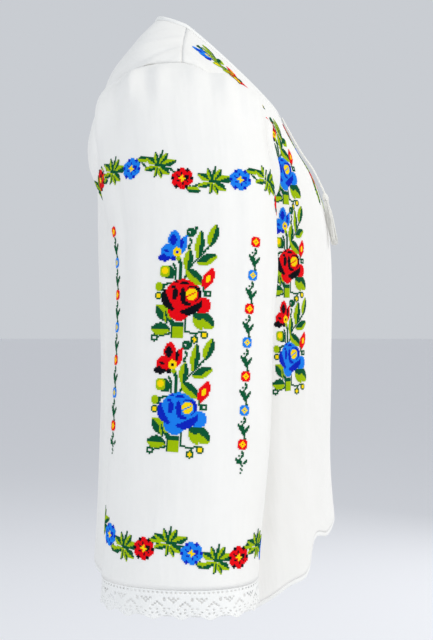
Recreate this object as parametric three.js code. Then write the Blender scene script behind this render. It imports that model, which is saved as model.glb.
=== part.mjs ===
import * as THREE from 'three';

// A worn women's blouse with nobody in it.  Millimetres, +Z up, the garment's
// front faces -Y and the wearer's right is -X.  The origin lies in the neck
// opening at the height where the shoulder seams meet the neck.

// Cloth and seams
const CLOTH = 1.5;
const SEAM_GAP = 0.32;
const RIGHT = -1;
const LEFT = 1;

// Front slit and its vee
const SLIT_END = 2.3;
const SLIT_HALF_TOP = 3.2;
const SLIT_HALF_END = 0.5;

// Neck band, hem edging and cuff lace
const BAND_WIDTH = 8;
const BAND_THICK = 2;
const EDGING_HEIGHT = 5;
const EDGING_THICK = 2.2;
const LACE_HEIGHT = 27;
const LACE_THICK = 1.2;
const SCALLOPS = 16;
const SCALLOP_DEPTH = 4.5;

// Tie cords and tassels
const CORD_R = 1.1;
const CORD_CLEAR = 1.0;
const TASSEL_HEAD = 3.6;
const TASSEL_R = 5.0;
const TASSEL_LENGTH = 64;
const TASSEL_STAND = 5.6;
const TASSEL_LEAN = 11;

// Body sections from the neck down.  s: distance down the garment / 100 mm,
// half: half width, side: forward place of the side points, front and back:
// depth from there, zSide, zFront, zBack: heights, n and m: roundness of the
// section in front and behind, q: how the height runs round it.
const BODY = [
  { s: 0, half: 98, side: -18, front: 98, back: 57, zSide: 5, zFront: -84, zBack: 32, n: 2.75, m: 2, q: 1.05 },
  { s: 0.75, half: 163, side: -8, front: 98, back: 90, zSide: -32, zFront: -104, zBack: -4, n: 2.3, m: 2, q: 1.1 },
  { s: 1.5, half: 226, side: 4, front: 99, back: 129, zSide: -70, zFront: -130, zBack: -60, n: 2.2, m: 2.1, q: 1.3 },
  { s: 2.35, half: 216, side: 3, front: 122, back: 137, zSide: -150, zFront: -172, zBack: -118, n: 2.3, m: 2.25, q: 1.4 },
  { s: 3.15, half: 202, side: 2, front: 136, back: 137, zSide: -234, zFront: -234, zBack: -205, n: 2.35, m: 2.25, q: 1.6 },
  { s: 4.7, half: 202, side: 2, front: 138, back: 130, zSide: -395, zFront: -385, zBack: -385, n: 2.35, m: 2.25, q: 1.8 },
  { s: 6, half: 207, side: 1, front: 140, back: 132, zSide: -530, zFront: -490, zBack: -508, n: 2.3, m: 2.2, q: 2.6 },
  { s: 7.2, half: 214, side: 0, front: 146, back: 136, zSide: -635, zFront: -577, zBack: -597, n: 2.25, m: 2.15, q: 3.2 },
];

// Large soft folds of the body, the same on both sides.  turn: degrees round
// from the middle of the front, wide: degrees, out: mm (a trough is negative),
// from and to: where it starts and is full, drop: how far it pulls the hem down.
const FOLDS = [
  { turn: 36, wide: 6, out: 5, from: 2.2, to: 6.6, drop: -6 },
  { turn: 25, wide: 8, out: -3, from: 2.6, to: 6.8, drop: 17 },
  { turn: 66, wide: 10, out: 3, from: 3.6, to: 6.8, drop: 0 },
  { turn: 112, wide: 12, out: 4, from: 3.4, to: 7.0, drop: -3 },
  { turn: 133, wide: 9, out: -4, from: 2.4, to: 6.8, drop: 3 },
  { turn: 156, wide: 11, out: 5, from: 1.6, to: 6.6, drop: -4 },
];

// Armhole: from the shoulder point down to the underarm
const HOLE_TOP = 1.5;
const HOLE_LOW = 3.15;
const HOLE_FRONT = 47;
const HOLE_BACK = 49;
const HOLE_ROUND = 2.2;
const HOLE_ROUND_BACK = 2.8;
const HOLE_STEPS = 13;
const UNDERARM_LIFT = 2.8;

// Sleeve sections from the armhole to the cuff.  t: place down the sleeve,
// outX, outZ: the outer side, inX, inZ: the side towards the body,
// mid: forward place, deep: half depth front to back, n: roundness.
const SLEEVE = [
  { t: 0.45, outX: 259, outZ: -87, inX: 213, inZ: -242, mid: 4, deep: 93, n: 2.6 },
  { t: 1.0, outX: 291, outZ: -124, inX: 219, inZ: -254, mid: 12, deep: 88, n: 2.2 },
  { t: 1.6, outX: 308, outZ: -178, inX: 222, inZ: -274, mid: 21, deep: 86, n: 2.1 },
  { t: 2.3, outX: 319, outZ: -245, inX: 225, inZ: -304, mid: 28, deep: 80, n: 2.15 },
  { t: 3.2, outX: 326, outZ: -335, inX: 226, inZ: -362, mid: 26, deep: 76, n: 2.2 },
  { t: 4.3, outX: 332, outZ: -446, inX: 229, inZ: -452, mid: 23, deep: 77, n: 2.2 },
  { t: 5.6, outX: 340, outZ: -577, inX: 234, inZ: -577, mid: 15, deep: 75, n: 2.2 },
];
const SLEEVE_ROWS = [0.2, 0.45, 0.75, 1.1, 1.6, 2.2, 2.9, 3.6, 4.3, 5.0, 5.6];

const PANEL_COLUMNS = 24;
const SHOULDER_ROWS = [0, 0.35, 0.75, 1.15];
const LOWER_ROWS = [3.7, 4.3, 4.9, 5.5, 6.1, 6.65, 7.2];

const DEG = Math.PI / 180;
const group = new THREE.Group();
group.name = 'blouse';

const COTTON = { color: 0xf4f3ef, roughness: 0.9, metalness: 0 };
const TRIM = { color: 0xfaf9f6, roughness: 0.92, metalness: 0 };

function vec(x, y, z) {
  return new THREE.Vector3(x, y, z);
}

// Smooth curve through the rows of a table, read at one value of its key.
function along(rows, key, name, value) {
  let i = 0;
  while (i < rows.length - 2 && value > rows[i + 1][key]) i += 1;
  const a = rows[i];
  const b = rows[i + 1];
  const before = rows[Math.max(0, i - 1)];
  const after = rows[Math.min(rows.length - 1, i + 2)];
  const step = b[key] - a[key];
  const w = (value - a[key]) / step;
  const m0 = (step * (b[name] - before[name])) / (b[key] - before[key]);
  const m1 = (step * (after[name] - a[name])) / (after[key] - a[key]);
  const w2 = w * w;
  const w3 = w2 * w;
  return (2 * w3 - 3 * w2 + 1) * a[name] + (w3 - 2 * w2 + w) * m0
    + (3 * w2 - 2 * w3) * b[name] + (w3 - w2) * m1;
}

function signedPower(value, power) {
  return Math.sign(value) * Math.abs(value) ** power;
}

function ease(value, from, to) {
  const w = Math.min(1, Math.max(0, (value - from) / (to - from)));
  return w * w * (3 - 2 * w);
}

// A point of the body cloth: turn in degrees from the middle of the front,
// positive towards the wearer's right; s down the garment.
function bodyPoint(turn, s) {
  const c = Math.cos(turn * DEG);
  const d = Math.sin(turn * DEG);
  const n = along(BODY, 's', c >= 0 ? 'n' : 'm', s);
  const depth = along(BODY, 's', c >= 0 ? 'front' : 'back', s);
  const zSide = along(BODY, 's', 'zSide', s);
  const zEnd = along(BODY, 's', c >= 0 ? 'zFront' : 'zBack', s);
  const half = along(BODY, 's', 'half', s);
  const side = along(BODY, 's', 'side', s);
  const q = along(BODY, 's', 'q', s);
  const x = RIGHT * half * signedPower(d, 2 / n);
  const y = -(side + depth * signedPower(c, 2 / n));
  let z = zSide + (zEnd - zSide) * Math.abs(c) ** ((2 * q) / n);
  const away = vec(x / half ** 2, (y + side) / depth ** 2, 0).normalize();
  let out = 0;
  const place = Math.abs(((turn + 540) % 360) - 180);
  for (const fold of FOLDS) {
    const near = (place - fold.turn) / fold.wide;
    const grown = Math.exp(-near * near) * ease(s, fold.from, fold.to);
    out += fold.out * grown;
    z += fold.drop * grown * ease(s, 5.2, 7.2);
  }
  return vec(x + away.x * out, y + away.y * out, z);
}

// The armhole's edge: angle 0 at the shoulder point, 90 at the front.
function holePlace(angle) {
  const round = Math.sin(angle * DEG) >= 0 ? HOLE_ROUND : HOLE_ROUND_BACK;
  const c = signedPower(Math.cos(angle * DEG), 2 / round);
  const d = signedPower(Math.sin(angle * DEG), 2 / round);
  const wide = d >= 0 ? HOLE_FRONT : HOLE_BACK;
  const mid = (HOLE_TOP + HOLE_LOW) / 2;
  const tall = (HOLE_LOW - HOLE_TOP) / 2;
  return { turn: 90 - wide * d, s: mid - tall * c };
}

function mirrored(point) {
  return vec(-point.x, point.y, point.z);
}

// One point of the sleeve; angle 0 on the outer side, 90 at the front.
function sleeveKey(row, angle) {
  const c = signedPower(Math.cos(angle * DEG), 2 / row.n);
  const d = signedPower(Math.sin(angle * DEG), 2 / row.n);
  const x = (row.outX + row.inX) / 2 + ((row.outX - row.inX) / 2) * c;
  const z = (row.outZ + row.inZ) / 2 + ((row.outZ - row.inZ) / 2) * c;
  return { x: -x, y: -(row.mid + row.deep * d), z };
}

function sleevePoint(angle, t) {
  const hole = holePlace(angle);
  const edge = bodyPoint(hole.turn, hole.s);
  const inside = bodyPoint(hole.turn + (90 - hole.turn) * 0.05, hole.s + (2.325 - hole.s) * 0.05);
  const lift = UNDERARM_LIFT * ease(-Math.cos(angle * DEG), 0.2, 0.8);
  const start = edge.clone().add(inside.sub(edge).normalize().multiplyScalar(SEAM_GAP));
  start.add(vec(edge.x, edge.y * 2, 0).normalize().multiplyScalar(lift));
  const rows = [{ t: 0, x: start.x, y: start.y, z: start.z }];
  for (const row of SLEEVE) rows.push({ t: row.t, ...sleeveKey(row, angle) });
  return vec(along(rows, 't', 'x', t), along(rows, 't', 'y', t), along(rows, 't', 'z', t));
}

// A closed wall on a patch of a surface: place(i, j) gives the surface point,
// thick the wall, wraps joins the last column to the first, cut(i, j) leaves
// a patch between row i and column j out.
function wall(rows, columns, place, thick, wraps, cut) {
  const across = wraps ? columns : columns + 1;
  const outer = [];
  for (let i = 0; i <= rows; i += 1) {
    for (let j = 0; j < across; j += 1) outer.push(place(i, j));
  }
  const at = (i, j) => i * across + (wraps ? (j + across) % across : j);
  const faces = [];
  for (let i = 0; i < rows; i += 1) {
    for (let j = 0; j < columns; j += 1) {
      if (!cut || !cut(i, j)) faces.push([at(i, j), at(i + 1, j), at(i + 1, j + 1), at(i, j + 1)]);
    }
  }
  const normals = outer.map(() => vec(0, 0, 0));
  for (const [a, b, c, d] of faces) {
    const one = outer[c].clone().sub(outer[a]);
    const two = outer[d].clone().sub(outer[b]);
    const normal = one.cross(two).normalize();
    for (const k of [a, b, c, d]) normals[k].add(normal);
  }
  const shift = outer.length;
  const inner = outer.map((p, k) => p.clone().addScaledVector(normals[k].normalize(), -thick));
  const edges = new Map();
  const index = [];
  for (const [a, b, c, d] of faces) {
    index.push(a, b, c, a, c, d);
    index.push(a + shift, c + shift, b + shift, a + shift, d + shift, c + shift);
    for (const [p, q] of [[a, b], [b, c], [c, d], [d, a]]) {
      if (edges.has(`${q} ${p}`)) edges.delete(`${q} ${p}`);
      else edges.set(`${p} ${q}`, [p, q]);
    }
  }
  for (const [p, q] of edges.values()) index.push(q, p, p + shift, q, p + shift, q + shift);
  return solidFrom(outer.concat(inner), index);
}

function solidFrom(points, index) {
  let volume = 0;
  for (let k = 0; k < index.length; k += 3) {
    const [a, b, c] = [points[index[k]], points[index[k + 1]], points[index[k + 2]]];
    volume += a.dot(b.clone().cross(c));
  }
  const turned = [...index];
  if (volume < 0) {
    for (let k = 0; k < turned.length; k += 3) {
      [turned[k + 1], turned[k + 2]] = [turned[k + 2], turned[k + 1]];
    }
  }
  const used = new Map();
  const flat = [];
  const order = turned.map((k) => {
    if (!used.has(k)) {
      used.set(k, used.size);
      flat.push(points[k].x, points[k].y, points[k].z);
    }
    return used.get(k);
  });
  const geometry = new THREE.BufferGeometry();
  geometry.setAttribute('position', new THREE.Float32BufferAttribute(flat, 3));
  geometry.setIndex(order);
  geometry.computeVertexNormals();
  return geometry;
}

function addPiece(name, geometry, finish) {
  const mesh = new THREE.Mesh(geometry, new THREE.MeshStandardMaterial(finish));
  mesh.name = name;
  group.add(mesh);
}

// Rows of a panel: down the shoulder, past the armhole, on to the hem.
function panelRows(side) {
  const rows = SHOULDER_ROWS.map((s) => ({ s, turn: 90 }));
  for (let k = 0; k <= HOLE_STEPS; k += 1) rows.push(holePlace((side * 180 * k) / HOLE_STEPS));
  for (const s of LOWER_ROWS) rows.push({ s, turn: 90 });
  return rows;
}

const FRONT_ROWS = panelRows(1);
const BACK_ROWS = panelRows(-1);

// The side and shoulder seams leave a narrow gap between front and back.
function seamTurn(s) {
  const reach = (along(BODY, 's', 'front', s) + along(BODY, 's', 'back', s)) / 2;
  return (0.55 * SEAM_GAP) / (reach * DEG);
}

function slitHalf(s) {
  return SLIT_HALF_TOP + (SLIT_HALF_END - SLIT_HALF_TOP) * Math.min(1, s / SLIT_END);
}

// The front has one more column, so the slit can open between its two edges.
const FRONT_COLUMNS = PANEL_COLUMNS + 1;
const SLIT_ROW = FRONT_ROWS.findIndex((row) => row.s >= SLIT_END);

function frontPoint(i, j) {
  const row = FRONT_ROWS[i];
  const limit = Math.min(row.turn, 90 - seamTurn(row.s));
  const half = PANEL_COLUMNS / 2;
  const right = j <= half;
  const share = right ? (half - j) / half : (j - half - 1) / half;
  const start = slitHalf(row.s) / (along(BODY, 's', 'half', row.s) * DEG);
  const turn = start + (limit - start) * share;
  return bodyPoint(right ? turn : -turn, row.s);
}

function backPoint(i, j) {
  const row = BACK_ROWS[i];
  const limit = Math.max(row.turn, 90 + seamTurn(row.s));
  const share = (2 * j) / PANEL_COLUMNS - 1;
  return bodyPoint(180 + (180 - limit) * share, row.s);
}

const lastRow = FRONT_ROWS.length - 1;
const slitCut = (i, j) => i < SLIT_ROW && j === PANEL_COLUMNS / 2;
addPiece('front_panel', wall(lastRow, FRONT_COLUMNS, frontPoint, CLOTH, false, slitCut), COTTON);
addPiece('back_panel', wall(lastRow, PANEL_COLUMNS, backPoint, CLOTH, false), COTTON);

// Sleeves
function sleeveWall(side) {
  const rows = [0, ...SLEEVE_ROWS];
  const place = (i, j) => {
    const point = sleevePoint((180 * j) / HOLE_STEPS, rows[i]);
    return side === RIGHT ? point : mirrored(point);
  };
  const turned = side === RIGHT ? place : (i, j) => place(i, -j);
  return wall(rows.length - 1, 2 * HOLE_STEPS, turned, CLOTH, true);
}

addPiece('sleeve_right', sleeveWall(RIGHT), COTTON);
addPiece('sleeve_left', sleeveWall(LEFT), COTTON);

// Cuff lace with its scalloped edge
function laceWall(side) {
  const columns = SCALLOPS * 2;
  const row = SLEEVE[SLEEVE.length - 1];
  const place = (i, j) => {
    const angle = (-side * 360 * j) / columns;
    const edge = sleeveKey(row, angle);
    const share = i / 2;
    const wave = SCALLOP_DEPTH * Math.abs(Math.cos((Math.PI * j) / 2));
    const drop = SEAM_GAP + share * (LACE_HEIGHT - (i === 2 ? wave : 0));
    const flare = 1 + 0.02 * share;
    const x = -row.inX + (edge.x + row.inX) * flare;
    return vec(side === RIGHT ? x : -x, edge.y * flare, edge.z - drop);
  };
  return wall(2, columns, place, LACE_THICK, true);
}

addPiece('cuff_lace_right', laceWall(RIGHT), TRIM);
addPiece('cuff_lace_left', laceWall(LEFT), TRIM);

// Neck band: stands up from the neck edge, leaning in a little
function bandWall() {
  const columns = 2 * PANEL_COLUMNS;
  const start = (SLIT_HALF_TOP + 0.2) / (98 * DEG);
  const quarter = PANEL_COLUMNS / 2;
  const place = (i, j) => {
    const step = columns - j;
    const round = step <= 2 * quarter ? step : columns - step;
    const front = start + ((90 - start) * round) / quarter;
    const near = round <= quarter ? front : 90 * (round / quarter);
    const turn = step <= 2 * quarter ? near : 360 - near;
    const edge = bodyPoint(turn, 0);
    const down = bodyPoint(turn, 0.2);
    const up = edge.clone().sub(down).normalize();
    up.z = Math.abs(up.z) + 0.45;
    up.normalize();
    const rise = 2 * SEAM_GAP + ((1 - i) * BAND_WIDTH);
    return edge.addScaledVector(up, rise);
  };
  return wall(1, columns, place, BAND_THICK, false);
}

addPiece('neck_band', bandWall(), TRIM);

// Hem edging: a narrow rolled edge below each panel
function edgingWall(point, columns, skip) {
  const place = (i, j) => {
    const column = skip !== undefined && j > skip ? j + 1 : j;
    const edge = point(lastRow, column);
    edge.z -= 2 * SEAM_GAP + i * EDGING_HEIGHT;
    return edge.addScaledVector(vec(edge.x, edge.y, 0).normalize(), 0.35);
  };
  return wall(1, columns, place, EDGING_THICK, false);
}

addPiece('hem_edging_front', edgingWall(frontPoint, PANEL_COLUMNS, PANEL_COLUMNS / 2), TRIM);
addPiece('hem_edging_back', edgingWall(backPoint, PANEL_COLUMNS), TRIM);

// Tie cords from the ends of the neck band down the front, each with a tassel
const CORD_STOPS = [0.06, 0.4, 0.8, 1.2, 1.6, 2.0, 2.48];
const CORD_SPREAD = [3.6, 4.4, 5.4, 6.4, 7.2, 7.8, 8.2];

function cordRoute(side) {
  return CORD_STOPS.map((s, k) => {
    const turn = CORD_SPREAD[k] / (along(BODY, 's', 'half', s) * DEG);
    const here = bodyPoint(turn, s);
    const down = bodyPoint(turn, s + 0.05).sub(here);
    const off = vec(0, down.z, -down.y).normalize();
    const clear = CORD_R + CORD_CLEAR + TASSEL_STAND * (k / 6) ** 2;
    here.addScaledVector(off, clear);
    here.x = side * CORD_SPREAD[k];
    return here;
  });
}

function cordGeometry(route) {
  const section = new THREE.Shape();
  for (let k = 0; k < 8; k += 1) {
    const angle = (Math.PI * k) / 4;
    if (k === 0) section.moveTo(CORD_R, 0);
    else section.lineTo(CORD_R * Math.cos(angle), CORD_R * Math.sin(angle));
  }
  const path = new THREE.CatmullRomCurve3(route);
  return new THREE.ExtrudeGeometry(section, { steps: 12, extrudePath: path, bevelEnabled: false });
}

function tasselGeometry(top) {
  const skirt = TASSEL_LENGTH;
  const line = [
    [0, 0], [TASSEL_HEAD * 0.75, -0.8], [TASSEL_HEAD, -3.5], [TASSEL_HEAD * 0.85, -6.5],
    [TASSEL_HEAD * 0.7, -8], [TASSEL_R * 0.8, -12], [TASSEL_R, -30], [TASSEL_R, -skirt], [0, -skirt],
  ];
  const points = line.map(([r, z]) => new THREE.Vector2(r, z)).reverse();
  const geometry = new THREE.LatheGeometry(points, 12);
  geometry.rotateX(Math.PI / 2 - TASSEL_LEAN * DEG);
  geometry.translate(top.x, top.y, top.z);
  return geometry;
}

for (const [side, name] of [[RIGHT, 'right'], [LEFT, 'left']]) {
  const route = cordRoute(side);
  const end = route[route.length - 1];
  addPiece(`tie_cord_${name}`, cordGeometry(route), TRIM);
  const top = vec(end.x, end.y, end.z - 0.35);
  addPiece(`tassel_${name}`, tasselGeometry(top), TRIM);
}

export default group;
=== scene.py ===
import math

import bpy
import numpy as np
from mathutils import Matrix, Vector


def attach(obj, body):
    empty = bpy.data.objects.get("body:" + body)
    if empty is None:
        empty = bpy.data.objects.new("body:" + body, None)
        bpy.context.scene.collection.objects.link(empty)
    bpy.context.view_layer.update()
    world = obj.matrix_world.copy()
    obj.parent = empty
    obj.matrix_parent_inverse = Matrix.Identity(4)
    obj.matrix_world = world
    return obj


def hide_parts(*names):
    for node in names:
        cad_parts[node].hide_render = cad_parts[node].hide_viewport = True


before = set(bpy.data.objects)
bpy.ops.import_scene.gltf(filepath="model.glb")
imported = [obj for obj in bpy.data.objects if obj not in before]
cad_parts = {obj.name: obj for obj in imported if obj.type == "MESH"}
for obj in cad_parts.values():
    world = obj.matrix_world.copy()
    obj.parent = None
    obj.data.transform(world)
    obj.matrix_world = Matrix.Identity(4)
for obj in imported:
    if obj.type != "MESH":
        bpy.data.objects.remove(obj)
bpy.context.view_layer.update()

# A worn cotton blouse in millimetres until its meshes are made.  Front -Y, up +Z,
# wearer's right -X, origin in the neck opening.
MM = 0.001
RIGHT, LEFT = -1, 1
SIDES = {"right": RIGHT, "left": LEFT}
CLOTH_THICK = 0.7


# ---------------------------------------------------------------- camera
def make_camera():
    """Level camera off the wearer's right side, turned a little towards the front."""
    data = bpy.data.cameras.new("camera")
    data.sensor_fit = "VERTICAL"
    data.sensor_height = 24
    data.lens = 36.6
    data.clip_end = 50
    data.dof.use_dof = False
    camera = bpy.data.objects.new("camera", data)
    bpy.context.scene.collection.objects.link(camera)
    camera.location = (-1.2015, -0.2119, -0.333)
    towards = Vector((0.9848, 0.1736, 0))
    camera.rotation_euler = towards.to_track_quat("-Z", "Y").to_euler()
    bpy.context.scene.camera = camera


make_camera()


# ---------------------------------------------------------------- form of the cloth
def table(names, *rows):
    """Columns of a table as arrays, by name."""
    return dict(zip(names.split(), np.array(rows, float).T))


BODY = table(
    "s half side front back z_side z_front z_back n m q",
    (0, 98, -18, 98, 57, 5, -84, 32, 2.75, 2, 1.05),
    (0.75, 163, -8, 98, 90, -32, -104, -4, 2.3, 2, 1.1),
    (1.5, 226, 4, 99, 129, -70, -130, -60, 2.2, 2.1, 1.3),
    (2.35, 216, 3, 122, 137, -150, -172, -118, 2.3, 2.25, 1.4),
    (3.15, 202, 2, 136, 137, -234, -234, -205, 2.35, 2.25, 1.6),
    (4.7, 202, 2, 138, 130, -395, -385, -385, 2.35, 2.25, 1.8),
    (6, 207, 1, 140, 132, -530, -490, -508, 2.3, 2.2, 2.6),
    (7.2, 214, 0, 146, 136, -635, -577, -597, 2.25, 2.15, 3.2),
)

# Large folds: turn, width, outwards, from, full at, pull on the hem
FOLDS = (
    (36, 6, 5, 2.2, 6.6, -6),
    (25, 8, -3, 2.6, 6.8, 17),
    (66, 10, 3, 3.6, 6.8, 0),
    (112, 12, 4, 3.4, 7.0, -3),
    (133, 9, -4, 2.4, 6.8, 3),
    (156, 11, 5, 1.6, 6.6, -4),
)

SLEEVE = table(
    "t out_x out_z in_x in_z mid deep n",
    (0.45, 259, -87, 213, -242, 4, 93, 2.6),
    (1.0, 291, -124, 219, -254, 12, 88, 2.2),
    (1.6, 308, -178, 222, -274, 21, 86, 2.1),
    (2.3, 319, -245, 225, -304, 28, 80, 2.15),
    (3.2, 326, -335, 226, -362, 26, 76, 2.2),
    (4.3, 332, -446, 229, -452, 23, 77, 2.2),
    (5.6, 340, -577, 234, -577, 15, 75, 2.2),
)
SLEEVE_END = 5.6
HEM = 7.2
# Armhole: its top and foot in s, its reach forwards and back in degrees, how square it is
HOLE_TOP, HOLE_LOW = 1.5, 3.15
HOLE_MIDDLE, HOLE_HALF = (HOLE_TOP + HOLE_LOW) / 2, (HOLE_LOW - HOLE_TOP) / 2
HOLE_FRONT, HOLE_BACK = 47, 49
HOLE_ROUND, HOLE_ROUND_BACK = 2.2, 2.8
# How far the sleeve's head stands off the body under the arm, and the gap at a seam
UNDERARM_LIFT = 2.8
SEAM = 0.07
# The neck slit: where it ends, and its half width at the neck and at its foot
SLIT_END = 2.3
SLIT_HALF_TOP, SLIT_HALF_FOOT = 3.2, 0.5

# How much the creases and the slow unevenness count, on body and sleeve
CREASE_GAIN = 1.9
BODY_UNREST, SLEEVE_UNREST = 0.5, 0.45
# Across one degree and down one step of s or t, in mm, for the creases' widths
BODY_DEGREE, SLEEVE_DEGREE, ROW_STEP = 3.0, 1.35, 100

# Creases of the body: turn and s where each starts and ends, half width in mm,
# mm outwards (a trough is negative).
BODY_CREASES = (
    (84, 0.55, 52, 1.25, 7, 1.1),
    (86, 0.95, 60, 1.75, 9, -1.3),
    (87, 1.3, 50, 2.3, 8, 1.2),
    (40, 2.0, 34, 3.4, 12, -1.6),
    (43, 3.3, 36, 6.9, 10, -1.4),
    (14, 2.6, 16, 6.6, 18, 1.3),
    (6, 3.6, 8, 7.1, 10, -1.2),
    (50, 4.0, 52, 7.1, 12, 1.7),
    (59, 3.4, 60, 7.1, 10, -1.6),
    (75, 3.9, 77, 7.2, 11, -1.5),
    (96, 4.4, 98, 7.2, 10, 1.4),
    (104, 3.6, 103, 7.2, 9, -1.8),
    (92, 0.6, 128, 1.2, 9, 1.4),
    (94, 1.0, 136, 1.8, 10, -1.7),
    (97, 1.3, 140, 2.4, 9, 1.3),
    (122, 2.5, 121, 5.9, 12, 1.6),
    (141, 3.4, 145, 7.1, 10, 1.5),
    (149, 2.3, 148, 6.1, 11, -1.9),
    (168, 2.8, 166, 7.1, 12, -1.7),
    (176, 0.9, 174, 5.2, 12, 1.2),
)

# Creases of the sleeve: angle and t at both ends, half width, mm outwards
SLEEVE_CREASES = (
    (-4, 0.03, -7, 0.9, 4.0, 1.1),
    (5, 0.03, 9, 0.8, 3.6, 1.0),
    (13, 0.03, 21, 1.0, 4.4, -1.1),
    (-12, 0.03, -17, 1.1, 4.6, -1.2),
    (-20, 0.03, -28, 0.85, 4.0, 1.2),
    (22, 0.03, 33, 0.95, 4.5, 1.0),
    (31, 0.03, 46, 1.2, 5.0, -1.0),
    (-30, 0.03, -46, 1.2, 6.0, -1.5),
    (-44, 0.05, -66, 1.0, 7.0, 1.6),
    (-62, 0.25, -86, 1.15, 8.0, -2.0),
    (-78, 0.1, -99, 0.8, 7.0, 1.8),
    (66, 0.25, 84, 1.1, 6.0, -1.7),
    (75, 0.2, 91, 1.3, 6.0, 1.6),
    (52, 0.2, 68, 1.5, 7.0, 1.0),
    (88, 0.8, 97, 2.2, 8.0, -1.8),
    (33, 1.6, 30, 4.6, 11.0, -0.9),
    (-36, 1.9, -33, 5.2, 12.0, 0.9),
    (-52, 1.4, -56, 3.4, 9.0, -1.1),
    (78, 2.2, 80, 5.0, 10.0, 1.2),
    (-88, 1.9, -90, 5.3, 9.0, -1.6),
    (118, 0.7, 122, 3.0, 10.0, 1.8),
    (150, 0.6, 146, 2.4, 9.0, -1.9),
    (-128, 0.7, -122, 2.9, 10.0, -1.8),
    (-152, 0.8, -155, 4.4, 10.0, 1.6),
    (170, 2.4, 172, 5.3, 10.0, -1.5),
)


def smooth(key, value, take, spread=lambda a: a):
    """Cubic through rows at uneven keys; take gives a row, spread fits a factor to it."""
    i = np.clip(np.searchsorted(key, value, side="left") - 1, 0, len(key) - 2)
    before, after = np.maximum(i - 1, 0), np.minimum(i + 2, len(key) - 1)
    step = key[i + 1] - key[i]
    w = spread((value - key[i]) / step)
    m0 = spread(step) * (take(i + 1) - take(before)) / spread(key[i + 1] - key[before])
    m1 = spread(step) * (take(after) - take(i)) / spread(key[after] - key[i])
    w2, w3 = w * w, w * w * w
    return (
        (2 * w3 - 3 * w2 + 1) * take(i)
        + (w3 - 2 * w2 + w) * m0
        + (3 * w2 - 2 * w3) * take(i + 1)
        + (w3 - w2) * m1
    )


def along(rows, name, value):
    """Smooth curve through one column of a table, by its s or t."""
    key = rows["s"] if "s" in rows else rows["t"]
    return smooth(key, value, lambda i: rows[name][i])


def power(value, exponent):
    """A power that keeps its value's sign."""
    return np.sign(value) * np.abs(value) ** exponent


def ease(value, start, end):
    """From 0 at start to 1 at end, smooth at both."""
    w = np.clip((value - start) / (end - start), 0, 1)
    return w * w * (3 - 2 * w)


def unit(v):
    return v / np.maximum(np.linalg.norm(v, axis=-1, keepdims=True), 1e-9)


def body_form(turn, s):
    """The body's cloth, the solids' own outer side; turn in degrees from the front."""
    c, d = np.cos(np.radians(turn)), np.sin(np.radians(turn))
    ahead = c >= 0
    n = np.where(ahead, along(BODY, "n", s), along(BODY, "m", s))
    depth = np.where(ahead, along(BODY, "front", s), along(BODY, "back", s))
    z_end = np.where(ahead, along(BODY, "z_front", s), along(BODY, "z_back", s))
    z_side, half, side = (along(BODY, k, s) for k in ("z_side", "half", "side"))
    x = RIGHT * half * power(d, 2 / n)
    y = -(side + depth * power(c, 2 / n))
    z = z_side + (z_end - z_side) * np.abs(c) ** (2 * along(BODY, "q", s) / n)
    away = unit(np.stack([x / half**2, (y + side) / depth**2, 0 * x], -1))
    place = np.abs((turn + 540) % 360 - 180)
    out = 0 * x
    low = ease(s, 5.2, HEM)
    for where, wide, rise, start, full, drop in FOLDS:
        grown = np.exp(-(((place - where) / wide) ** 2)) * ease(s, start, full)
        out = out + rise * grown
        z = z + drop * grown * low
    return np.stack([x, y, z], -1) + away * out[..., None] * [1, 1, 0]


def hole_place(angle):
    """Armhole edge: angle 0 at the shoulder point, 90 at the front."""
    c, d = np.cos(np.radians(angle)), np.sin(np.radians(angle))
    rounding = np.where(d >= 0, HOLE_ROUND, HOLE_ROUND_BACK)
    c, d = power(c, 2 / rounding), power(d, 2 / rounding)
    wide = np.where(d >= 0, HOLE_FRONT, HOLE_BACK)
    return 90 - wide * d, HOLE_MIDDLE - HOLE_HALF * c


def sleeve_form(angle, t):
    """The right sleeve's cloth; angle 0 on the outer side, 90 at the front."""
    turn, s = hole_place(angle)
    edge = body_form(turn, s)
    inside = body_form(turn + (90 - turn) * 0.05, s + (HOLE_MIDDLE - s) * 0.05)
    lift = UNDERARM_LIFT * ease(-np.cos(np.radians(angle)), 0.2, 0.8)
    start = edge + unit(inside - edge) * SEAM
    start = start + unit(edge * [1, 2, 0]) * lift[..., None]
    points = [start]
    for row in range(len(SLEEVE["t"])):
        k = {name: col[row] for name, col in SLEEVE.items()}
        c = power(np.cos(np.radians(angle)), 2 / k["n"])
        d = power(np.sin(np.radians(angle)), 2 / k["n"])
        x = (k["out_x"] + k["in_x"]) / 2 + (k["out_x"] - k["in_x"]) / 2 * c
        z = (k["out_z"] + k["in_z"]) / 2 + (k["out_z"] - k["in_z"]) / 2 * c
        points.append(np.stack([-x, -(k["mid"] + k["deep"] * d), z], -1))
    points = np.stack(points, 0)
    key = np.concatenate([[0], SLEEVE["t"]])
    take = lambda k: np.take_along_axis(points, k[None, ..., None], 0)[0]
    return smooth(key, t, take, lambda a: a[..., None])


def normal_of(form, a, b, step_a, step_b):
    """Outward unit normal of a form(a, b)."""
    one = form(a + step_a, b) - form(a - step_a, b)
    two = form(a, b + step_b) - form(a, b - step_b)
    return unit(np.cross(one, two))


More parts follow.
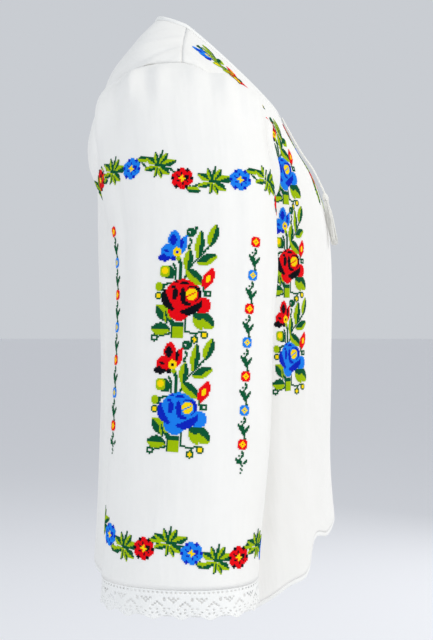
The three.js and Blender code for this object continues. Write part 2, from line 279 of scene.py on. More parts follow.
def crease(a, b, scale_a, scale_b, rows, wrap):
    """Soft troughs and ridges along short lines, fading out at their ends."""
    total = 0 * a
    for a0, b0, a1, b1, wide, rise in rows:
        run_a, run_b = (a1 - a0) * scale_a, (b1 - b0) * scale_b
        long = math.hypot(run_a, run_b)
        off = (a - a0 + 180) % 360 - 180 if wrap else a - a0
        da, db = off * scale_a, (b - b0) * scale_b
        share = (da * run_a + db * run_b) / long**2
        side = (da * run_b - db * run_a) / long
        fade = ease(share, -0.12, 0.22) * (1 - ease(share, 0.6, 1.15))
        spread = wide * (0.8 + 0.5 * np.clip(share, 0, 1))
        total = total + rise * fade * np.exp(-((side / spread) ** 2))
    return total


def unrest(a, b, seed):
    """Slow unevenness of worn cloth, in mm."""
    rng = np.random.default_rng(seed)
    total = 0 * a
    for k in range(7):
        fa, fb, p = rng.uniform(0.7, 3.6), rng.uniform(0.3, 1.6), rng.uniform(0, 6.28)
        total = total + np.sin(np.radians(a) * round(fa * 2) + b * fb * 1.3 + p) / (1 + k * 0.5)
    return total


def body_cloth(turn, s):
    """The body's form with its creases, calm at the neck and the hem."""
    base = body_form(turn, s)
    normal = normal_of(body_form, turn, s, 0.4, 0.01)
    place = np.abs((turn + 540) % 360 - 180)
    out = crease(place, s, BODY_DEGREE, ROW_STEP, BODY_CREASES, False)
    calm = ease(s, 0.15, 1.2) * (1 - ease(s, 6.9, HEM) * 0.6)
    out = (CREASE_GAIN * out + BODY_UNREST * unrest(turn, s, 11)) * calm
    return base + normal * out[..., None]


def sleeve_cloth(angle, t):
    """The sleeve's form with its creases and the step of its turned-up hem."""
    base = sleeve_form(angle, t)
    normal = -normal_of(sleeve_form, angle, np.maximum(t, 0.02), 0.5, 0.01)
    out = crease(angle, t, SLEEVE_DEGREE, ROW_STEP, SLEEVE_CREASES, True)
    calm = ease(t, 0.0, 0.12) * (1 - ease(t, 5.3, SLEEVE_END))
    out = (CREASE_GAIN * out + SLEEVE_UNREST * unrest(angle, t, 23)) * calm
    hem = 0.45 * ease(t, 5.47, 5.49)
    return base + normal * (out + hem)[..., None]


# ---------------------------------------------------------------- materials
def colour(code):
    """sRGB hex to linear."""
    parts = [int(code[k : k + 2], 16) / 255 for k in (0, 2, 4)]
    linear = [p / 12.92 if p <= 0.04045 else ((p + 0.055) / 1.055) ** 2.4 for p in parts]
    return (*linear, 1)


def node(tree, kind, settings=None, **links):
    """Adds a node, sets its properties and inputs, and links what is a socket."""
    made = tree.nodes.new(kind)
    for name, value in (settings or {}).items():
        setattr(made, name, value)
    for name, value in links.items():
        key = int(name[1:]) if name[1:].isdigit() else name.replace("_", " ")
        socket = made.inputs[key]
        if isinstance(value, bpy.types.NodeSocket):
            tree.links.new(value, socket)
        else:
            socket.default_value = value
    return made


def new_material(name, rough, sheen=0.0):
    made = bpy.data.materials.new(name)
    made.use_nodes = True
    shader = made.node_tree.nodes["Principled BSDF"]
    shader.inputs["Roughness"].default_value = rough
    shader.inputs["Sheen Weight"].default_value = sheen
    shader.inputs["Specular IOR Level"].default_value = 0.25
    return made, made.node_tree, shader


def bands(apart):
    """Scale of a band wave whose crests are so many mm apart."""
    return math.pi / 10 / (apart * MM)


# Noise cells to the metre: patches of tone 29 mm across, slubs 2.4 mm, rumples 38 mm
# across and six times as long down the cloth, and fibres 0.4 mm
TONE, SLUB, RUMPLE, RUMPLE_LENGTHEN, FIBRE = 34.0, 420.0, 26.0, 0.16, 2600.0


def cloth_material(name, light, shade, apart, depth, rumpling, on_uv=True):
    """Plain-woven cotton: threads so many mm apart and slubs as bump, uneven in tone."""
    made, tree, shader = new_material(name, 0.88, 0.15)
    if on_uv:
        place = node(tree, "ShaderNodeUVMap", {"uv_map": "weave"}).outputs["UV"]
    else:
        place = node(tree, "ShaderNodeTexCoord").outputs["Object"]
    slow = node(tree, "ShaderNodeTexNoise", None, Vector=place, Scale=TONE, Detail=3.0)
    mix = node(
        tree, "ShaderNodeMix", {"data_type": "RGBA"},
        i0=slow.outputs[0], i6=colour(light), i7=colour(shade),
    )
    tree.links.new(mix.outputs[2], shader.inputs["Base Color"])
    warp, weft = (
        node(
            tree, "ShaderNodeTexWave", {"wave_type": "BANDS", "bands_direction": way},
            Vector=place, Scale=bands(apart), Distortion=0.6, Detail=1.0,
        )
        for way in ("X", "Y")
    )
    both = node(
        tree, "ShaderNodeMath", {"operation": "MAXIMUM"},
        i0=warp.outputs["Fac"], i1=weft.outputs["Fac"],
    )
    slub = node(tree, "ShaderNodeTexNoise", None, Vector=place, Scale=SLUB, Detail=2.0)
    raised = node(
        tree, "ShaderNodeMath", {"operation": "ADD"}, i0=both.outputs[0], i1=slub.outputs[0]
    )
    drawn = node(tree, "ShaderNodeMapping", None, Vector=place, Scale=(1.0, RUMPLE_LENGTHEN, 1.0))
    rumple = node(
        tree, "ShaderNodeTexNoise", None, Vector=drawn.outputs[0], Scale=RUMPLE, Detail=3.0
    )
    wide = node(
        tree, "ShaderNodeBump", None, Height=rumple.outputs[0], Strength=0.6, Distance=rumpling
    )
    bump = node(
        tree, "ShaderNodeBump", None, Height=raised.outputs[0], Strength=0.35, Distance=depth,
        Normal=wide.outputs["Normal"],
    )
    tree.links.new(bump.outputs["Normal"], shader.inputs["Normal"])
    return made


def thread_material(name, code, rough=0.62):
    """Stranded cotton thread, mercerised and vat dyed: a soft lustre and fine fibres.

    A cotton fibre is about 0.02 mm thick, far too fine to show, so it is drawn 0.4 mm.
    """
    made, tree, shader = new_material(name, rough)
    shader.inputs["Specular IOR Level"].default_value = 0.12
    shader.inputs["Base Color"].default_value = colour(code)
    where = node(tree, "ShaderNodeTexCoord")
    fibre = node(tree, "ShaderNodeTexNoise", None, Vector=where.outputs["Object"], Scale=FIBRE)
    bump = node(
        tree, "ShaderNodeBump", None, Height=fibre.outputs[0], Strength=0.3, Distance=0.2 * MM
    )
    tree.links.new(bump.outputs["Normal"], shader.inputs["Normal"])
    return made


# White cotton voile of the panels and sleeves, plain woven and bleached: matt, with soft
# rumples.  Its threads lie about 0.35 mm apart, too fine to show, so they are drawn 1.05.
COTTON = cloth_material("plain_cotton", "F6F5F2", "F1F0EC", 1.05, 0.15 * MM, 6 * MM)
# Whiter, denser mercerised cotton of lace and edgings, crocheted: its rows of thread,
# about 1.4 mm apart, catch the light
LACE = cloth_material("lace_cotton", "FAFAF8", "F1F1EE", 1.43, 0.3 * MM, MM)
# Softer cotton of ties and tassels, twisted from plies about 2 mm apart along it
CORD = cloth_material("cord_cotton", "F8F7F3", "EBEAE4", 1.96, 0.4 * MM, MM, False)
# Dyed embroidery threads, in the order of their numbers on the stitches
THREADS = {
    "r": thread_material("thread_red", "EE0214"),
    "k": thread_material("thread_black", "080C16"),
    "b": thread_material("thread_royal_blue", "0428C8"),
    "c": thread_material("thread_sky_blue", "1C8CF0"),
    "g": thread_material("thread_dark_green", "045E38"),
    "l": thread_material("thread_lime", "ABC800"),
    "y": thread_material("thread_yellow", "FFE100"),
}


# ---------------------------------------------------------------- meshes
def mesh_object(name, points, faces, material, uv=None, rounded=True):
    """An object of points and uv in mm, one material on all its faces."""
    mesh = bpy.data.meshes.new(name)
    mesh.from_pydata((np.asarray(points) * MM).tolist(), [], [tuple(f) for f in faces])
    mesh.update()
    mesh.polygons.foreach_set("use_smooth", [rounded] * len(mesh.polygons))
    if uv is not None:
        layer = mesh.uv_layers.new(name="weave")
        corner = np.empty(len(mesh.loops), int)
        mesh.loops.foreach_get("vertex_index", corner)
        layer.data.foreach_set("uv", (np.asarray(uv) * MM)[corner].ravel())
    mesh.materials.append(material)
    made = bpy.data.objects.new(name, mesh)
    bpy.context.scene.collection.objects.link(made)
    return made


def shell(name, grid, normals, thick, material, uv, wrap=False, cut=None):
    """A closed thin wall on a grid of points whose normals face outwards."""
    rows, cols = grid.shape[:2]
    number = np.arange(rows * cols).reshape(rows, cols)
    if wrap:
        number = np.concatenate([number, number[:, :1]], 1)
    quads = np.stack([number[:-1, :-1], number[1:, :-1], number[1:, 1:], number[:-1, 1:]], -1)
    if cut is not None:
        quads = quads[~cut]
    quads = quads.reshape(-1, 4)
    count = rows * cols
    edges = np.concatenate([quads[:, [k, (k + 1) % 4]] for k in range(4)])
    code = edges[:, 0] * count + edges[:, 1]
    back = edges[:, 1] * count + edges[:, 0]
    rim = edges[~np.isin(code, back)]
    faces = quads.tolist() + (quads[:, ::-1] + count).tolist()
    faces += [[q, p, p + count, q + count] for p, q in rim.tolist()]
    outer = grid.reshape(-1, 3)
    inner = outer - normals.reshape(-1, 3) * thick
    points = np.concatenate([outer, inner])
    used, order = np.unique(np.array(faces), return_inverse=True)
    faces = order.reshape(-1, 4)
    flat = np.tile(uv.reshape(-1, 2), (2, 1))[used]
    made = mesh_object(name, points[used], faces.tolist(), material, flat)
    a, b, c = (points[used][faces[0, k]] for k in range(3))
    facing = np.dot(np.cross(b - a, c - b), normals.reshape(-1, 3)[quads[0, 0]])
    if facing < 0:
        made.data.flip_normals()
    return made


def grid_normals(grid, wrap=False):
    """Normals of a grid from its neighbours."""
    if wrap:
        along_row = np.roll(grid, -1, 1) - np.roll(grid, 1, 1)
    else:
        along_row = np.gradient(grid, axis=1)
    return unit(np.cross(along_row, np.gradient(grid, axis=0)))


def arc_uv(grid):
    """Distances along the rows and down the columns, in mm."""
    run = np.linalg.norm(np.diff(grid, axis=1), axis=-1)
    drop = np.linalg.norm(np.diff(grid, axis=0), axis=-1)
    u = np.concatenate([np.zeros((len(grid), 1)), np.cumsum(run, 1)], 1)
    v = np.concatenate([np.zeros((1, grid.shape[1])), np.cumsum(drop, 0)], 0)
    return np.stack([u - u.mean(1, keepdims=True), v], -1)


def seam_turn(s):
    """Half the gap of the side seam, in degrees."""
    reach = (along(BODY, "front", s) + along(BODY, "back", s)) / 2
    return SEAM / np.radians(reach)


def hole_reach(turn, s):
    """How far out a place of the body is from the armhole's middle: 1 on its edge."""
    off = (turn + 540) % 360 - 180
    ahead = np.abs(off) <= 90
    across = (90 - np.abs(off)) / np.where(ahead, HOLE_FRONT, HOLE_BACK)
    down = (s - HOLE_MIDDLE) / HOLE_HALF
    rounding = np.where(ahead, HOLE_ROUND, HOLE_ROUND_BACK)
    return (np.abs(across) ** rounding + np.abs(down) ** rounding) ** (1 / rounding)


# Points down a panel, across half the front and across the back
PANEL_ROWS, HALF_FRONT_COLUMNS, BACK_COLUMNS = 190, 72, 141
# An armhole's mean radius, and the depth and width of the trough along a seam, in mm
HOLE_RADIUS, SEAM_SINK, SEAM_TROUGH = 95, 0.5, 2.2


def panel_grid(front):
    """Turn and s over a whole panel, the cells left open, and mm from the armholes."""
    s = np.linspace(0, HEM, PANEL_ROWS)
    gap = seam_turn(s)
    if front:
        slit = SLIT_HALF_TOP + (SLIT_HALF_FOOT - SLIT_HALF_TOP) * np.minimum(1, s / SLIT_END)
        start = slit / np.radians(along(BODY, "half", s))
        share = np.linspace(0, 1, HALF_FRONT_COLUMNS)[None, :]
        turn = start[:, None] + (90 - gap - start)[:, None] * share
        turn = np.concatenate([turn[:, ::-1], -turn], 1)
    else:
        turn = 180 + (90 - gap)[:, None] * np.linspace(-1, 1, BACK_COLUMNS)[None, :]
    s = np.repeat(s[:, None], turn.shape[1], 1)
    middle = lambda a: (a[1:, 1:] + a[:-1, 1:] + a[1:, :-1] + a[:-1, :-1]) / 4
    opening = hole_reach(middle(turn), middle(s)) < 1
    if front:
        opening[:, HALF_FRONT_COLUMNS - 1] = s[1:, 0] <= SLIT_END
    cells = np.pad(opening, 1, constant_values=False)
    kept = np.pad(~opening, 1, constant_values=False)
    spread = lambda a: a[1:, 1:] | a[:-1, 1:] | a[1:, :-1] | a[:-1, :-1]
    reach = hole_reach(turn, s)
    edge = spread(cells) & spread(kept) & (reach > 0.8) & (reach < 1.2)
    # the cells' edge is drawn onto the armhole's own curve
    off = (turn + 540) % 360 - 180
    side = np.sign(off)
    factor = np.where(edge, 1 / reach, 1)
    across = (90 - np.abs(off)) * factor
    new_turn = side * (90 - across)
    turn = np.where(edge, np.where(front, new_turn, new_turn % 360), turn)
    s = np.where(edge, HOLE_MIDDLE + (s - HOLE_MIDDLE) * factor, s)
    return turn, s, opening, HOLE_RADIUS * np.abs(hole_reach(turn, s) - 1)


def make_panel(name, front):
    """The front or the back, from the neck to the hem between its seams."""
    turn, s, opening, far = panel_grid(front)
    grid = body_cloth(turn, s)
    normals = normal_of(body_cloth, turn, s, 0.4, 0.012)
    if np.mean(np.sum(normals * (grid * [1, 1, 0]), -1)) < 0:
        normals = -normals
    # a seam sinks a little where the cloth is sewn down
    run = np.linalg.norm(np.diff(grid, axis=1), axis=-1)
    zero = np.zeros((len(grid), 1))
    far = np.minimum(far, np.concatenate([zero, np.cumsum(run, 1)], 1))
    far = np.minimum(far, np.concatenate([np.cumsum(run[:, ::-1], 1)[:, ::-1], zero], 1))
    grid = grid - normals * (SEAM_SINK * np.exp(-((far / SEAM_TROUGH) ** 2)))[..., None]
    return shell(name, grid, normals, CLOTH_THICK, COTTON, arc_uv(grid), False, opening)


def mirror(points, side):
    """Points of the wearer's right side, or of the left one."""
    return points if side == RIGHT else points * [-1, 1, 1]


def make_sleeve(side, name):
    """A sleeve in one tube; its rows start at the seam on the inner side."""
    angle = np.linspace(180, 540, 165)[:-1]
    t = np.concatenate([np.linspace(0, 1.2, 46)[:-1], np.linspace(1.2, SLEEVE_END, 98)])
    angle, t = np.meshgrid(angle, t)
    grid = sleeve_cloth(angle, t)
    normals = -grid_normals(grid, True)
    middle = grid.mean(1, keepdims=True)
    if np.mean(np.sum(normals * (grid - middle), -1)) < 0:
        normals = -normals
    uv = arc_uv(grid)
    return shell(name, mirror(grid, side), mirror(normals, side), CLOTH_THICK, COTTON, uv, True)


# ---------------------------------------------------------------- lace and edgings
LACE_REPEATS = 16
LACE_HEIGHT = 27
LACE_THICK = 0.8
# How deep the scallops are cut, how far a picot stands out, and how the strip waves
SCALLOP, PICOT, RIPPLE = 4.6, 0.5, 0.9
# One repeat of the lace, top row first: o is a hole
LACE_CHART = (
    "............",
    ".o.o.o.o.o.o",
    "............",
    "............",
    "o.o.o.....o.",
    ".o.o......o.",
    "..o....o....",
    "......o.o...",
    ".....o...o..",
    "............",
    "o...o..o..o.",
    "............",
    "..o..o.o..o.",
    "............",
    ".o..o...o..o",
    "............",
)


def make_lace(side, name):
    """A pierced strip round the cuff with a scalloped, picot edge."""
    wide, high = len(LACE_CHART[0]), len(LACE_CHART)
    columns = wide * LACE_REPEATS
    angle = np.linspace(180, 540, 2 * columns + 1)[:-1]
    edge = sleeve_form(angle, np.full_like(angle, SLEEVE_END))
    run = np.concatenate([[0], np.cumsum(np.linalg.norm(np.diff(edge, axis=0), axis=-1))])
    total = run[-1] + np.linalg.norm(edge[0] - edge[-1])
    step = np.arange(columns) / columns * total
    angle = np.interp(step, np.append(run, total), np.append(angle, 540))
    top = sleeve_form(angle, np.full_like(angle, SLEEVE_END))
    share = np.linspace(0, 1, high + 1)[:, None]
    place = np.arange(columns)[None, :]
    low = LACE_HEIGHT - SCALLOP * np.abs(np.cos(np.pi * place / wide)) ** 1.5 + PICOT * (place % 2)
    shaped = ease(share, 0.45, 1)
    drop = share * (LACE_HEIGHT * (1 - shaped) + low * shaped)
    ripple = RIPPLE * np.sin(2 * np.pi * place * 5 / columns + 0.8) * share
    flare = 1 + (0.02 + 0.006 * np.sin(2 * np.pi * place / wide)) * share
    middle = top.mean(0)
    flat = top[None] - middle
    grid = middle + flat * np.stack([flare, flare, 0 * flare + 1], -1)
    away = unit(flat * [1, 1, 0])
    grid = grid + away * ripple[..., None] - np.array([0, 0, 1.0]) * (drop + 0.1)[..., None]
    normals = np.repeat(away, high + 1, 0)
    cut = np.array([[c == "o" for c in row * LACE_REPEATS] for row in LACE_CHART])
    uv = arc_uv(grid)
    made = shell(name, mirror(grid, side), mirror(normals, side), LACE_THICK, LACE, uv, True, cut)
    rounded = made.modifiers.new("rounded", "SUBSURF")
    rounded.levels = rounded.render_levels = 1
    return applied(made)


def applied(made):
    """The evaluated mesh kept as a plain one, its modifiers gone."""
    depsgraph = bpy.context.evaluated_depsgraph_get()
    mesh = bpy.data.meshes.new_from_object(made.evaluated_get(depsgraph))
    old = made.data
    made.modifiers.clear()
    made.data = mesh
    bpy.data.meshes.remove(old)
    mesh.name = made.name
    mesh.polygons.foreach_set("use_smooth", [True] * len(mesh.polygons))
    return made


# Points up an edging; its ribs' height, its rounding, and how far it lies in the cloth
RIB_ROWS, RIB_HIGH, RIB_ROLL, RIB_SUNK = 9, 0.30, 0.45, 0.4
# Each edging: height, thickness, pitch of its ribs and height of its loops
NECK_RIBS = (6.9, 1.5, 2.6, 0.8)
HEM_RIBS = (4.4, 1.4, 3.0, 0.5)


def ribbed(name, line, up, out, tall, thick, pitch, loops):
    """A narrow crocheted edging: ribs one pitch apart along a line, its edge looped."""
    run = np.concatenate([[0], np.cumsum(np.linalg.norm(np.diff(line, axis=0), axis=-1))])
    count = int(run[-1] / (pitch / 4))
    where = np.linspace(0, run[-1], count)
    pick = lambda a: np.stack([np.interp(where, run, a[:, k]) for k in range(3)], -1)
    line, up, out = pick(line), unit(pick(up)), unit(pick(out))
    share = np.linspace(0, 1, RIB_ROWS)[:, None]
    knot = np.abs(np.sin(np.pi * where / pitch))[None, :]
    rib = RIB_HIGH * knot * np.sin(np.pi * share) ** 0.5
    roll = RIB_ROLL * np.sin(np.pi * share)
    rise = share * (tall + loops * knot)
    grid = line + up * rise[..., None] + out * (rib + roll - RIB_SUNK)[..., None]
    normals = np.repeat(out[None], RIB_ROWS, 0)
    return shell(name, grid, normals, thick, LACE, arc_uv(grid))


# Half the opening between the band's ends, and how much it is drawn upright
NECK_OPEN, BAND_UPRIGHT = 3.4, 0.45


def make_band():
    """Neck band, standing up from the neck edge and leaning in."""
    start = math.degrees(NECK_OPEN / BODY["half"][0])
    turn = np.linspace(start, 360 - start, 400)
    s = np.zeros_like(turn)
    edge = body_form(turn, s)
    up = unit(edge - body_form(turn, s + 0.2))
    up[:, 2] = np.abs(up[:, 2]) + BAND_UPRIGHT
    up = unit(up)
    across = np.gradient(edge, axis=0)
    out = unit(np.cross(up, across))
    out = out * np.sign(np.sum(out * (edge * [1, 1, 0]), -1, keepdims=True) + 1e-9)
    return ribbed("neck_edging", edge + up * 0.3, up, out, *NECK_RIBS)


def make_hem_edging(front, name):
    """The edging hanging from the front's or the back's own hem."""
    turn, s, _, _ = panel_grid(front)
    line = body_cloth(turn[-1], s[-1])
    down = np.tile([0, 0, -1.0], (len(line), 1))
    out = unit(line * [1, 1, 0])
    return ribbed(name, line - [0, 0, 0.2], down, out, *HEM_RIBS)


# ---------------------------------------------------------------- ties and tassels
# A tie's route beside the slit: s, and how far it hangs from the middle
CORD_STOPS = np.array([0.06, 0.4, 0.8, 1.2, 1.6, 2.0, 2.48])
CORD_SPREAD = np.array([3.6, 4.4, 5.4, 6.4, 7.2, 7.8, 8.2])
CORD_R = 1.1
# The tie's clearance from the cloth at the neck, and how much more it gains to its end
CORD_CLEAR, CORD_HANG = 1.0, 5.6
CORD_POINTS = 48
CORD_INTO_HEAD = 9
TASSEL_LENGTH = 64
TASSEL_LEAN = math.radians(11)
# Wound head: height, radius; waist: radius, turns, thread; skirt: threads, radius, thread
HEAD_HIGH, HEAD_R = 8.5, 3.3
WAIST_R, WAIST_TURNS, WAIST_THREAD = 2.3, 4, 0.32
SKIRT_THREADS, SKIRT_R, SKIRT_THREAD = 64, 4.3, 0.36


def cord_route(side):
    """The points a tie hangs through, off the front and to one side of the slit."""
    turn = np.degrees(CORD_SPREAD / along(BODY, "half", CORD_STOPS))
    here = body_form(turn, CORD_STOPS)
    down = body_form(turn, CORD_STOPS + 0.05) - here
    off = unit(np.stack([0 * turn, down[:, 2], -down[:, 1]], -1))
    clear = CORD_R + CORD_CLEAR + CORD_HANG * np.linspace(0, 1, len(CORD_STOPS)) ** 2
    here = here + off * clear[:, None]
    here[:, 0] = side * CORD_SPREAD
    return here


def smooth_line(points, count):
    """Even points on a smooth curve through the given ones."""
    key = np.arange(len(points), dtype=float)
    rows = {"s": key, **{str(k): points[:, k] for k in range(3)}}
    fine = np.linspace(0, key[-1], 400)
    line = np.stack([along(rows, str(k), fine) for k in range(3)], -1)
    run = np.concatenate([[0], np.cumsum(np.linalg.norm(np.diff(line, axis=0), axis=-1))])
    where = np.linspace(0, run[-1], count)
    return np.stack([np.interp(where, run, line[:, k]) for k in range(3)], -1), run[-1]


def make_cord(side, name):
    """A tie from the neck down into the head of its tassel."""
    route = cord_route(side)
    into = CORD_INTO_HEAD * np.array([0, -math.sin(TASSEL_LEAN), -math.cos(TASSEL_LEAN)])
    line, length = smooth_line(np.concatenate([route, [route[-1] + into]]), CORD_POINTS)
    curve = bpy.data.curves.new(name, "CURVE")
    curve.dimensions = "3D"
    curve.bevel_depth = CORD_R * MM
    curve.bevel_resolution = 4
    curve.use_fill_caps = True
    spline = curve.splines.new("POLY")
    spline.points.add(len(line) - 1)
    weighted = np.concatenate([line * MM, np.ones((len(line), 1))], 1)
    spline.points.foreach_set("co", weighted.ravel())
    curve.materials.append(CORD)
    made = bpy.data.objects.new(name, curve)
    bpy.context.scene.collection.objects.link(made)
    return made, line * MM, length * MM


def tube(line, radii, sides):
    """Points and faces of a closed tube along a line."""
    along_it = unit(np.gradient(line, axis=0))
    side = unit(np.cross(along_it, [0.3, 0.9, 0.1]))
    other = np.cross(along_it, side)
    a = np.arange(sides) * 2 * np.pi / sides
    ring = np.cos(a)[None, :, None] * side[:, None] + np.sin(a)[None, :, None] * other[:, None]
    points = (line[:, None] + ring * radii[:, None, None]).reshape(-1, 3)
    number = np.arange(len(points)).reshape(-1, sides)
    after = np.roll(number, -1, 1)
    faces = np.stack([number[:-1], after[:-1], after[1:], number[1:]], -1).reshape(-1, 4)
    ends = [tuple(number[0])[::-1], tuple(number[-1])]
    return points, [tuple(face) for face in faces.tolist()] + ends


def make_tassel(side, name):
    """A wound head, a tied waist and a skirt of separate threads."""
    rng = np.random.default_rng(5 + side)
    points, faces = [], []

    def add(part):
        start = sum(len(p) for p in points)
        points.append(part[0])
        faces.extend(tuple(k + start for k in face) for face in part[1])

    z = np.linspace(0, HEAD_HIGH, 18)
    head = HEAD_R * np.sin(np.pi * np.clip((z + 0.6) / (HEAD_HIGH + 2), 0, 1)) ** 0.6
    head = head + 0.16 * np.sin(z * 5.2)
    add(tube(np.stack([0 * z, 0 * z, -z], -1), np.maximum(head, 0.7), 20))
    turn = np.linspace(0, 2 * np.pi * WAIST_TURNS, 64)
    level = -7.2 - 0.42 * turn / 6.28
    wound = np.stack([WAIST_R * np.cos(turn), WAIST_R * np.sin(turn), level], -1)
    add(tube(wound, np.full(64, WAIST_THREAD), 6))
    for k in range(SKIRT_THREADS):
        a, r = 2.4 * k, SKIRT_R * math.sqrt((k + 0.5) / SKIRT_THREADS)
        long = TASSEL_LENGTH - rng.uniform(0.5, 5.0)
        share = np.linspace(0, 1, 9)
        swell = 0.45 + 0.55 * ease(share, 0, 0.35) - 0.08 * share
        drift = rng.uniform(-0.5, 0.5) * share**2
        x = r * np.cos(a + drift) * swell + 0.25 * np.sin(share * 5 + k)
        y = r * np.sin(a + drift) * swell + 0.25 * np.cos(share * 4 + k)
        add(tube(np.stack([x, y, -7.5 - share * (long - 7.5)], -1), np.full(9, SKIRT_THREAD), 5))
    points = np.concatenate(points)
    lean = np.array(Matrix.Rotation(-TASSEL_LEAN, 3, "X"))
    uv = np.stack([np.arctan2(points[:, 1], points[:, 0]) * 4, points[:, 2]], -1)
    top = cord_route(side)[-1] - [0, 0, 0.2]
    return mesh_object(name, points @ lean.T + top, faces, CORD, uv)


# ---------------------------------------------------------------- stitch charts
# A chart is {(column, row): thread}, row 0 at the top; every shape is drawn here.
def oval(chart, x, y, rx, ry, thread, lean=0.0):
    """A filled oval, turned by lean degrees."""
    c, d = math.cos(math.radians(lean)), math.sin(math.radians(lean))
    reach = int(max(rx, ry)) + 2
    for i in range(int(x) - reach, int(x) + reach + 1):
        for j in range(int(y) - reach, int(y) + reach + 1):
            u, v = (i - x) * c + (j - y) * d, (j - y) * c - (i - x) * d
            if (u / rx) ** 2 + (v / ry) ** 2 <= 1:
                chart[i, j] = thread


def stroke(chart, points, thread, wide=1):
    """A bent line of stitches, wide stitches across."""
    for (x0, y0), (x1, y1) in zip(points, points[1:]):
        steps = max(1, int(2 * max(abs(x1 - x0), abs(y1 - y0))))
        for k in range(steps + 1):
            x, y = x0 + (x1 - x0) * k / steps, y0 + (y1 - y0) * k / steps
            for w in range(wide):
                chart[round(x) + w, round(y)] = thread


def arc(chart, x, y, rx, ry, start, end, thread, wide):
    """A curved petal edge, thick in its middle."""
    steps = int(abs(end - start) / 4) + 1
    for k in range(steps + 1):
        a = math.radians(start + (end - start) * k / steps)
        thick = wide * math.sin(math.pi * (0.12 + 0.76 * k / steps))
        oval(chart, x + rx * math.cos(a), y + ry * math.sin(a), thick, thick, thread)


def leaf(chart, base, tip, wide, left, right):
    """A pointed leaf, one colour on each side of its midrib."""
    (x0, y0), (x1, y1) = base, tip
    long = math.hypot(x1 - x0, y1 - y0)
    ux, uy = (x1 - x0) / long, (y1 - y0) / long
    for i in range(int(min(x0, x1) - wide) - 1, int(max(x0, x1) + wide) + 2):
        for j in range(int(min(y0, y1) - wide) - 1, int(max(y0, y1) + wide) + 2):
            u = (i - x0) * ux + (j - y0) * uy
            v = (j - y0) * ux - (i - x0) * uy
            if -0.3 <= u <= long + 0.3:
                half = wide * math.sin(math.pi * min(1, max(0, (u + 0.6) / (long + 1.2)))) ** 0.7
                if abs(v) <= half:
                    chart[i, j] = left if v < 0 else right


def berry(chart, x, y):
    """A ringed berry."""
    oval(chart, x, y, 2.6, 2.6, "g")
    oval(chart, x, y, 1.5, 1.5, "y")


